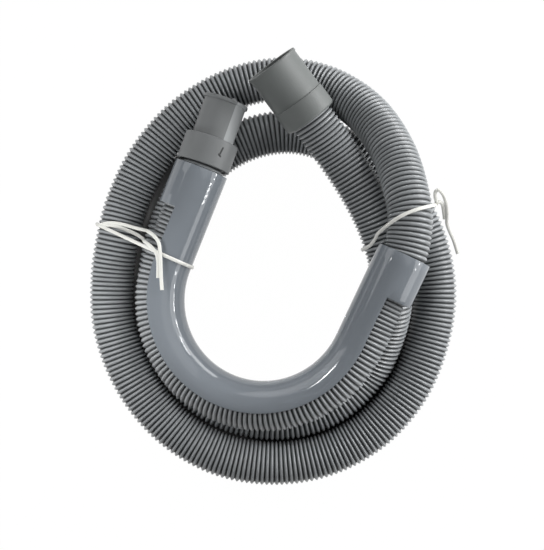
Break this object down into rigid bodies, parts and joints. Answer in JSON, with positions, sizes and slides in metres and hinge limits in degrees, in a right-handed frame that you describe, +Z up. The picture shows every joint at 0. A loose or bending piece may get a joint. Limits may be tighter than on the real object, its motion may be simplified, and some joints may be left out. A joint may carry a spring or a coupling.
{
  "type": "washing machine drain hose",
  "caption": "Corrugated drain hose coiled for storage, with a wide cuff, a stepped cuff, a U-shaped hook guide and wire ties.",
  "frame": {"origin": "centre of the coil's footprint, on the surface that the coil lies on", "axes": "+Z up from that surface; +Y along the coil's longer way, towards the ends with the cuffs; +X to the right in the picture"},
  "size_m": [0.2448, 0.2864, 0.0894],
  "materials": {
    "hose_plastic": "satin grey polypropylene, ridged",
    "cuff_rubber": "matt dark grey moulded rubber",
    "guide_plastic": "smooth glossy grey moulded plastic",
    "tie_coating": "white plastic coating on flat wire"
  },
  "bodies": {
    "root": {"corrugated_hose": "hose_plastic", "wide_cuff": "cuff_rubber", "stepped_cuff": "cuff_rubber", "hose_guide": "guide_plastic", "left_tie": "tie_coating", "right_tie": "tie_coating"}
  },
  "joints": []
}
